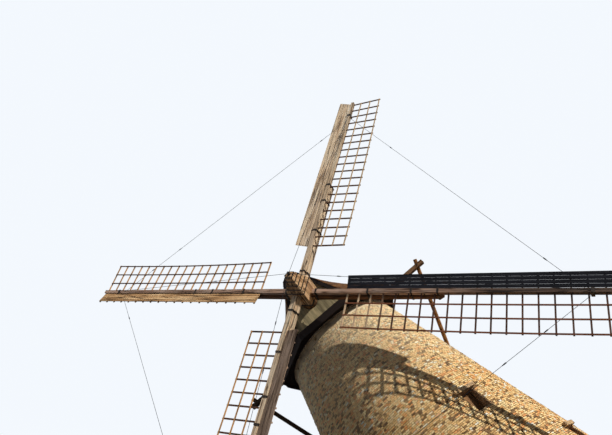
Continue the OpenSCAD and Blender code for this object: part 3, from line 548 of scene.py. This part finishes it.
# Curb and cap floor. The curb is a ring of squared timber on the masonry; the
# cap's floor and the boards of its eave, verges and ridge are tarred black.
coat(old_timber("curb_timber", *bleached, grain_along_x, fine=1.2), "curb_ring")
coat(old_timber("tarred_timber", *black, grain_along_x, cracks=0.5, grey=0.1),
     "cap_floor_ring", "eave_board", "verge_boards", "ridge_board")

# Front and rear boarding. Upright boards of a dull olive, nailed to the cap's
# ends; the front ones leave a hole for the shaft, the rear ones for the pole.
cap_floor_top, eave_height, ridge_height = 10.5203, 10.6306, 12.73
roof_curve = ((0, 1), (0.236, 0.901), (0.359, 0.774), (0.463, 0.639), (0.639, 0.401),
              (0.811, 0.168), (0.905, 0.081), (1, 0))
curve_parts = tuple(zip(roof_curve, roof_curve[1:]))
gable, roof_end, front_corner, waist = 2.38, 2.46, 1.015, 0.58
side_half, front_half, rear_half = 2.615, 1.18, 1.7993
board_seam, board_foot, under_roof, shortest = 0.004, 0.003, 0.125, 0.02
thin_board, thick_board, uneven = 0.010, 0.018, 0.003


def roof_half(y):
    y = max(-roof_end, min(roof_end, y))
    if y < -front_corner:
        taper = (y + front_corner) / (front_corner - roof_end)
        return side_half + (front_half - side_half) * taper
    if y < -waist:
        return side_half
    return side_half + (rear_half - side_half) * (y + waist) / (roof_end + waist)


def roof_height(x, y):
    share = min(1.0, abs(x) / roof_half(y))
    for (near, high), (far, low) in curve_parts:
        if share <= far:
            fall = high + (low - high) * (share - near) / (far - near)
            return eave_height + (ridge_height - eave_height) * fall


def cap_boards(name, y, out, width, count, gaps):
    """Boards from the cap floor to the roof; gaps are (half width, foot, top) kept clear."""
    mesh = bmesh.new()
    for i in range(count):
        left = -width + 2 * width * i / count + board_seam
        right = -width + 2 * width * (i + 1) / count - board_seam
        thick = random.choice((thin_board, thick_board)) + random.uniform(0, uneven)
        nearest = 0.0 if left < 0 < right else min(abs(left), abs(right))
        runs = [(cap_floor_top + board_foot, None)]
        for reach, foot, top in gaps:
            if nearest < reach:
                runs = [(cap_floor_top + board_foot, foot(nearest)), (top(nearest), None)]
        for foot, top in runs:
            for corner in block(mesh, Matrix.Identity(4), (left, 0, foot),
                                (right, thick, (top or foot + 0.1))):
                near = corner.co.y < thick / 2
                corner.co.y = y if near else y + out * thick
                if top is None and corner.co.z > foot + 0.05:
                    corner.co.z = max(foot + shortest, roof_height(corner.co.x, y) - under_roof)
    bmesh.ops.recalc_face_normals(mesh, faces=mesh.faces)
    set_piece(name, mesh, "cap", board_timber)


board_timber, tree, shader = new_material("cap_boards", 0.9)
place = grain_along_z(tree)
boards = stretched_noise(tree, place, (0.4, 5.0, 5.0), 4, 0.6)
fibre = stretched_noise(tree, place, (2.0, 60, 60), 4, 0.65)
olive = colour_ramp(tree, boards, (
    (0.32, (0.20, 0.17, 0.10)), (0.5, (0.42, 0.35, 0.20)), (0.68, (0.68, 0.55, 0.30))))
fibrous = colour_ramp(tree, fibre, (
    (0.34, (0.4, 0.38, 0.36)), (0.5, (1, 1, 1)), (0.75, (1.15, 1.12, 1.1))))
wire(tree, mix_colours(tree, 1.0, olive, fibrous, "MULTIPLY"), shader.inputs["Base Color"])
raise_surface(tree, shader, fibre, 0.6, 0.01)
coat(board_timber, "front_boarding", "rear_boarding")
random.seed(12)
shaft_height, shaft_clear = 11.256, 0.30
pole_clear, pole_low, pole_high = 0.125, 10.88, 11.35
front_width, front_count, rear_width, rear_count = 1.013, 12, 1.632, 18
cap_boards("front_planks", -gable, -1, front_width, front_count, [
    (shaft_clear, lambda x: shaft_height - math.sqrt(shaft_clear ** 2 - x ** 2),
     lambda x: shaft_height + math.sqrt(shaft_clear ** 2 - x ** 2))])
cap_boards("rear_planks", gable, 1, rear_width, rear_count,
           [(pole_clear, lambda x: pole_low, lambda x: pole_high)])

# Roof. Long brown boards run from front to rear and lap downwards over the
# curved sides; they stop round the spreader beam.
roof_timber = old_timber("roof_timber", (0.26, 0.11, 0.024), (0.15, 0.060, 0.014),
                         (0.055, 0.022, 0.006), grain_along_y, fine=1.1, grey=0.12)
coat(roof_timber, "roof_left", "roof_right")
board_rows, board_thickness, first_row, all_rows, lap_share = 13, 0.012, 0.033, 0.967, 0.014
lap_foot, lap_rise, middle_half, lean, most_short = 0.003, 0.015, 2.2, 0.7, 0.012
beam_foot, beam_top, beam_middle, beam_margin = 11.585, 11.755, 1.5, 0.03
board_end = 2.50
before_beam = [-2.50, -2.46, -2.1, -1.7, -1.35, -1.015, -0.58, 0.0, 0.6, 1.0, 1.405]
behind_beam = [1.595, 2.0, 2.46, board_end]
lengths = [0.0]
for (near, high), (far, low) in curve_parts:
    lengths.append(lengths[-1] + math.hypot((far - near) * middle_half,
                                            (high - low) * (ridge_height - eave_height)))


def on_roof(side, along, y, out):
    """A point of the roof's outer face at a share of the way down from the ridge, moved outward."""
    reach = along * lengths[-1]
    i = next((n for n in range(len(lengths) - 2) if reach <= lengths[n + 1]), len(lengths) - 2)
    part = (reach - lengths[i]) / (lengths[i + 1] - lengths[i])
    half, tall = roof_half(y), ridge_height - eave_height
    facing = [Vector(((high - low) * tall, 0, (far - near) * half)).normalized()
              for (near, high), (far, low) in curve_parts]
    first = (facing[max(0, i - 1)] + facing[i]).normalized()
    last = (facing[i] + facing[min(len(facing) - 1, i + 1)]).normalized()
    normal = first.lerp(last, part).normalized()
    (near, high), (far, low) = curve_parts[i]
    x = (near + (far - near) * part) * half
    z = eave_height + (high + (low - high) * part) * tall
    return Vector((side * (x + normal.x * out), y, z + normal.z * out))


for side, name in ((-1, "roof_boards_left"), (1, "roof_boards_right")):
    mesh = bmesh.new()
    for row in range(board_rows):
        top, foot = (first_row + all_rows * n / board_rows for n in (row, row + 1))
        top_height, foot_height = (on_roof(side, s, beam_middle, 0).z for s in (top, foot))
        cut = top_height + beam_margin > beam_foot and foot_height - beam_margin < beam_top
        end_play = random.uniform(-most_short, 0.0)
        for stations in ([before_beam, behind_beam] if cut else [before_beam + behind_beam]):
            # A flat grid is laid on the curve, then thickened into a board.
            grid = bmesh.ops.create_grid(mesh, x_segments=len(stations) - 1, y_segments=4,
                                         size=0.5)["verts"]
            skin = list({face for corner in grid for face in corner.link_faces})
            start = top - (lap_share if row else 0.0)
            for corner in grid:
                y = stations[round((corner.co.x + 0.5) * (len(stations) - 1))]
                part = corner.co.y + 0.5
                corner.co = on_roof(side, start + (foot - start) * part,
                                    y + (end_play if y == board_end else 0.0),
                                    lap_foot + lap_rise * part)
            bmesh.ops.recalc_face_normals(mesh, faces=skin)
            if skin[0].normal.x * side < 0:
                bmesh.ops.reverse_faces(mesh, faces=skin)
            thickened = bmesh.ops.extrude_face_region(mesh, geom=skin, use_keep_orig=True)["geom"]
            upper = [g for g in thickened if isinstance(g, bmesh.types.BMVert)]
            bmesh.ops.recalc_face_normals(
                mesh, faces=[g for g in thickened if isinstance(g, bmesh.types.BMFace)])
            for corner in upper:
                corner.co += Vector((side * lean, 0, lean)) * board_thickness
    bmesh.ops.recalc_face_normals(mesh, faces=mesh.faces)
    set_piece(name, mesh, "cap", roof_timber)

# Cap beams and tail frame. Squared beams carry the shaft; the frame behind is a
# squared beam and pole and two round braces, brown, pinned with iron bolts where
# the braces cross the spreader and meet the tail pole. Painted shade darkens the
# frame from x 1.6 to x 0.8 and all of it further left.
# Painted shade: the spreader, pole and braces fall to 0.12 of their colour from x 1.6 to x 0.8 and
# stay so further left.
painted_shade_on_left = darker_past(grain_along_x, "X", 1.6, 0.8, 0.12)
coat(old_timber("beam_timber", *bleached, grain_along_x), "weather_beam", "tail_bearing_beam")
coat(old_timber("spreader_timber", *brown, grain_along_x, fine=1.3, shade=painted_shade_on_left),
     "spreader_beam")
coat(old_timber("tail_timber", (0.50, 0.22, 0.06), (0.33, 0.14, 0.035), (0.13, 0.05, 0.015),
                grain_along_z, fine=1.3, shade=painted_shade_on_left), "tail_pole", "tail_braces")
tail_top, tail_foot = Vector((0, 2.38, 11.30)), Vector((0, 5.80, 1.00))
tail_way = (tail_foot - tail_top).normalized()
brace_foot, band_foot = 0.70, 0.14
brace_end = tail_foot - tail_way * brace_foot
brace_crossings, spreader_height = (-4.01, 4.51), 11.67
bolt_ends, nut_ends, bolt_radius, nut_radius = (1.38, 1.62), (1.385, 1.414), 0.014, 0.027
foot_bolt_half, foot_bolt_up = 0.22, 0.16
tail_iron = bmesh.new()
for x in brace_crossings:
    for (front, back), radius, sides in ((bolt_ends, bolt_radius, 8), (nut_ends, nut_radius, 6)):
        rod(tail_iron, (x, front, spreader_height), (x, back, spreader_height), radius, sides)
rod(tail_iron, brace_end + Vector((-foot_bolt_half, 0, foot_bolt_up)),
    brace_end + Vector((foot_bolt_half, 0, foot_bolt_up)), bolt_radius, 8)
across = tail_way.cross(Vector((1, 0, 0))).normalized()
band_place = Matrix.Translation(tail_foot - tail_way * band_foot) @ Matrix(
    (Vector((1, 0, 0)), across, tail_way)).transposed().to_4x4()
inside, outside, rim = 0.115, 0.122, 0.03
for low, high in (
        ((-outside, -outside), (outside, -inside)), ((-outside, inside), (outside, outside)),
        ((-outside, -inside), (-inside, inside)), ((inside, -inside), (outside, inside))):
    block(tail_iron, band_place, (*low, -rim), (*high, rim))
set_piece("tail_iron", tail_iron, "cap", forged_iron)

# Windshaft and poll end. Each takes its grain from the shaft's own line. The
# poll end is split deeply by the sun; oak wedges hold the two stocks in it.
hub = Vector((0.0, -3.17039, 11.36429))
shaft_tilt, sail_turn = math.radians(7.8), math.radians(48.5)
rotor = (Matrix.Rotation(math.pi / 2 - shaft_tilt, 4, "X")
         @ Matrix.Rotation(math.pi / 2 - sail_turn, 4, "Z"))
sail_plane = (0.16, -0.16, 0.16, -0.16)


def on_sail(step):
    return (Matrix.Translation(hub) @ rotor @ Matrix.Rotation(-math.pi / 2 * step, 4, "Z")
            @ Matrix.Translation((0, 0, sail_plane[step])))


def grain_along_shaft(tree):
    turned = rotor @ Matrix.Rotation(-math.pi / 2, 4, "Y")
    return object_place(tree, tuple(hub), tuple(turned.to_euler("XYZ")))


poll_timber = old_timber("poll_timber", (0.92, 0.62, 0.34), (0.66, 0.38, 0.18),
                         (0.22, 0.11, 0.05), grain_along_shaft, fine=0.9, cracks=1.0,
                         grey=0.15, lift=1.0)
coat(old_timber("shaft_timber", *brown, grain_along_shaft), "windshaft")
coat(poll_timber, "poll_end")
coat(forged_iron, "poll_bands")
wedges = bmesh.new()
wedge_start, wedge_end, wedge_back, wedge_front = 0.331, 0.435, -0.235, -0.125
thin_inner, thin_outer, wide_inner, wide_outer = 0.1365, 0.152, 0.1335, 0.172
wedge_middle, wedge_face = 0.4, 0.15
for step in range(4):
    for side in (-1, 1):
        inner, outer = sorted((side * thin_inner, side * wide_outer))
        for corner in block(wedges, Matrix.Identity(4), (wedge_start, inner, wedge_back),
                            (wedge_end, outer, wedge_front)):
            at_wide_end, on_outside = corner.co.x > wedge_middle, abs(corner.co.y) > wedge_face
            if on_outside and not at_wide_end:
                corner.co.y = side * thin_outer
            if at_wide_end and not on_outside:
                corner.co.y = side * wide_inner
            corner.co = on_sail(step) @ corner.co
set_piece("poll_wedges", wedges, "sails", poll_timber)


# Stocks and whips. Squared timbers; the pair that stands in the sun is
# bleached pale, the level pair has stayed a pinkish brown.
def grain_along_arm(step):
    turned = rotor @ Matrix.Rotation(-math.pi / 2 * step, 4, "Z")
    return lambda tree: object_place(tree, tuple(hub), tuple(turned.to_euler("XYZ")))


def grain_of_both_pairs(tree):
    """Grain along each arm, and a mask that is 1 on the level pair."""
    place = grain_along_arm(0)(tree)
    split = parts_of(tree, place)
    on_first, on_second = (work_out(tree, "ABSOLUTE", split[axis]) for axis in ("X", "Y"))
    level = work_out(tree, "GREATER_THAN", on_second, on_first)
    swapped = tree.nodes.new("ShaderNodeCombineXYZ")
    for source, target in (("Y", "X"), ("X", "Y"), ("Z", "Z")):
        wire(tree, split[source], swapped.inputs[target])
    pick = tree.nodes.new("ShaderNodeMix")
    pick.data_type = "VECTOR"
    wire(tree, level, pick.inputs["Factor"])
    wire(tree, place, pick.inputs[4])
    wire(tree, swapped.outputs[0], pick.inputs[5])
    return pick.outputs[1], level


coat(old_timber("stock_timber_ac", *bleached, grain_along_arm(0), cracks=0.95),
     "stock_upper_right")
coat(old_timber("stock_timber_bd", (0.24, 0.10, 0.036), (0.14, 0.056, 0.020),
                (0.06, 0.024, 0.010), grain_along_arm(1), grey=0.15), "stock_upper_left")
coat(old_timber("whip_timber", *bleached, grain_of_both_pairs, cracks=0.95,
                other=((0.66, 0.42, 0.30), (0.46, 0.28, 0.19), (0.18, 0.10, 0.065)),
                shade=darker_past(grain_along_arm(0), "Y", -4.2, -6.0, 0.22)), "sail_whips")

# Clamps. Forged straps hold each whip to its stock, closed by bolts whose long
# ends stand out on the leading side with a square nut.
coat(forged_iron, "stock_clamps", "stay_collars")
whip_start, whip_end, whip_heel, whip_tip = 0.39, 9.41, 0.160, 0.125
stock_start, stock_length, stock_heel, stock_tip, stock_behind = 0.33, 4.37, 0.27, 0.19, -0.19
strap, long_end, short_end, nut, bolt_radius, nut_radius = 0.013, 0.062, 0.022, 0.018, 0.010, 0.024
first_clamps, other_clamps = (0.27, 0.20, 0.58, 0.27), (2.36, 3.36, 4.16)


def whip_half(x):
    return (whip_heel + (whip_tip - whip_heel) * (x - whip_start) / (whip_end - whip_start)) / 2


def stock_half(x):
    return (stock_heel + (stock_tip - stock_heel) * (x - stock_start) / stock_length) / 2


bolts = bmesh.new()
for step, first_clamp in enumerate(first_clamps):
    arm = on_sail(step)
    for x in (stock_start + first_clamp, *other_clamps):
        for z, half in ((0.0, whip_half(x) + strap), (stock_behind, stock_half(x) + strap)):
            for low, high, radius, sides in (
                    (-half - short_end, half + long_end, bolt_radius, 6),
                    (half, half + nut, nut_radius, 4), (-half - nut, -half, nut_radius, 4)):
                rod(bolts, arm @ Vector((x, low, z)), arm @ Vector((x, high, z)), radius, sides)
set_piece("clamp_bolts", bolts, "sails", forged_iron)


# Lattices. Thin bars with thin laths nailed over them; the colours of laths and
# bars differ from sail to sail, and on sail d the bars next to the hub are
# paler as painted sunlight.
def lattice_timber(name, step, lath, bar, heel=None):
    """Wood of one sail's laths and bars; heel is a paler colour painted on the bars next to the hub
    as sunlight.
    """
    material, tree, shader = new_material(name, 0.85)
    place = grain_along_arm(step)(tree)
    split = parts_of(tree, place)
    from_lath = work_out(tree, "PINGPONG", split["Y"], lath_spacing / 2)
    is_bar = work_out(tree, "GREATER_THAN", from_lath, lath_band / 2)
    patches = stretched_noise(tree, place, (2.2, 2.2, 2.2), 4, 0.6)
    fibre = stretched_noise(tree, place, (28, 28, 28), 4, 0.6)
    bar_wood = colour_ramp(tree, patches, ((0.35, tuple(0.55 * c for c in bar)), (0.6, bar)))
    lath_wood = colour_ramp(tree, patches, ((0.35, tuple(0.6 * c for c in lath)), (0.6, lath)))
    if heel:
        bar_wood = mix_colours(tree, rise(tree, split["X"], heel_from, heel_to), heel, bar_wood)
    wood = mix_colours(tree, is_bar, lath_wood, bar_wood)
    fibrous = colour_ramp(tree, fibre, ((0.35, (0.6, 0.56, 0.52)), (0.55, (1, 1, 1))))
    wire(tree, mix_colours(tree, 1.0, wood, fibrous, "MULTIPLY"), shader.inputs["Base Color"])
    raise_surface(tree, shader, fibre, 0.5, 0.006)
    return material


lath_spacing, lath_band, heel_from, heel_to = 0.42, 0.047, 2.3, 3.0
coat(lattice_timber("lattice_a_wood", 0, (0.95, 0.66, 0.36), (0.17, 0.085, 0.05)), "lattice_a")
coat(lattice_timber("lattice_b_wood", 3, (0.13, 0.065, 0.045), (0.92, 0.52, 0.22)), "lattice_b")
coat(lattice_timber("lattice_c_wood", 2, (0.90, 0.48, 0.18), (0.16, 0.075, 0.045)), "lattice_c")
# Sail d: the bars next to the hub take a pale colour, painted sunlight.
coat(lattice_timber("lattice_d_wood", 1, (0.28, 0.10, 0.05), (0.15, 0.075, 0.05),
                    (0.85, 0.62, 0.40)), "lattice_d")

# Windboards. Four planks on the leading side of each whip, nailed to the ends
# of the bars; each sail's planks have aged to their own colour, but the
# near-black, bluish colour of sail d's planks is painted shade.
coat(old_timber("board_a_timber", *bleached, grain_along_arm(0), cracks=0.9), "windboard_a")
coat(old_timber("board_b_timber", (1.00, 0.70, 0.38), (0.62, 0.36, 0.16), (0.16, 0.08, 0.035),
                grain_along_arm(1), cracks=1.0, grey=0.2, lift=1.0), "windboard_b")
coat(old_timber("board_c_timber", (0.62, 0.44, 0.32), (0.42, 0.29, 0.20), (0.14, 0.09, 0.06),
                grain_along_arm(0), cracks=0.9), "windboard_c")
# Sail d's planks: their near-black, bluish colour is painted shade.
coat(old_timber("board_d_painted_shade", (0.040, 0.042, 0.056), (0.022, 0.023, 0.031),
                (0.010, 0.010, 0.014), grain_along_arm(1), cracks=0.5, grey=0.2), "windboard_d")
nails = bmesh.new()
plank, planks, plank_gap, slope = 0.10325, 4, 0.009, math.radians(17)
first_bar, last_bar, bar_step, bars = 1.68, 9.28, 0.40, 20
clamp_thickness, plank_thickness, board_gap, bar_front = 0.012, 0.024, 0.006, 0.017
nail_foot, nail_top, nail_radius, off_row, off_bar = 0.018, 0.0275, 0.008, 0.02, 0.008
plank_foot = (whip_half(first_bar) - whip_half(last_bar) + clamp_thickness
              + plank_thickness * math.sin(slope) + board_gap)
for step in range(4):
    board = (on_sail(step) @ Matrix.Translation((0, whip_half(last_bar), bar_front))
             @ Matrix.Rotation(slope, 4, "X"))
    for bar in range(bars):
        for row in range(planks):
            y = (plank_foot + row * (plank + plank_gap) + plank / 2
                 + random.uniform(-off_row, off_row))
            x = first_bar + bar * bar_step + random.uniform(-off_bar, off_bar)
            rod(nails, board @ Vector((x, y, nail_foot)), board @ Vector((x, y, nail_top)),
                nail_radius, 5)
set_piece("windboard_nails", nails, "sails", forged_iron)

# Stays. Dark wire; the splices and their bindings make short thicker lengths
# near the collars and near the poll end.
stay_wire, tree, shader = new_material("stay_wire", 0.6)
feed(tree, shader.inputs["Base Color"], (0.010, 0.010, 0.014))
coat(stay_wire, "front_stays", "rim_stays")
splices = bmesh.new()
collar_out, front_eye, rim_eye, tie_out = 8.58, 0.081, -0.124, 0.955
splice_half, splice_radius, binding_end, binding_radius = 0.045, 0.017, 0.09, 0.012
front_splices, rim_splices = (1.7, 3.2), (1.6, 3.0, -1.6)
tie_ahead = Matrix.Translation(hub) @ rotor @ Vector((0, 0, tie_out))
for step in range(4):
    ahead = on_sail(step) @ Vector((collar_out, 0, front_eye))
    behind = on_sail(step) @ Vector((collar_out, 0, rim_eye))
    following = on_sail((step + 1) % 4) @ Vector((collar_out, 0, rim_eye))
    for start, end, places in ((tie_ahead, ahead, front_splices), (behind, following, rim_splices)):
        way = (end - start).normalized()
        for at in places:
            middle = (start if at > 0 else end) + way * at
            rod(splices, middle - way * splice_half, middle + way * splice_half, splice_radius, 8)
            rod(splices, middle + way * splice_half, middle + way * binding_end, binding_radius, 8)
set_piece("stay_splices", splices, "sails", stay_wire)
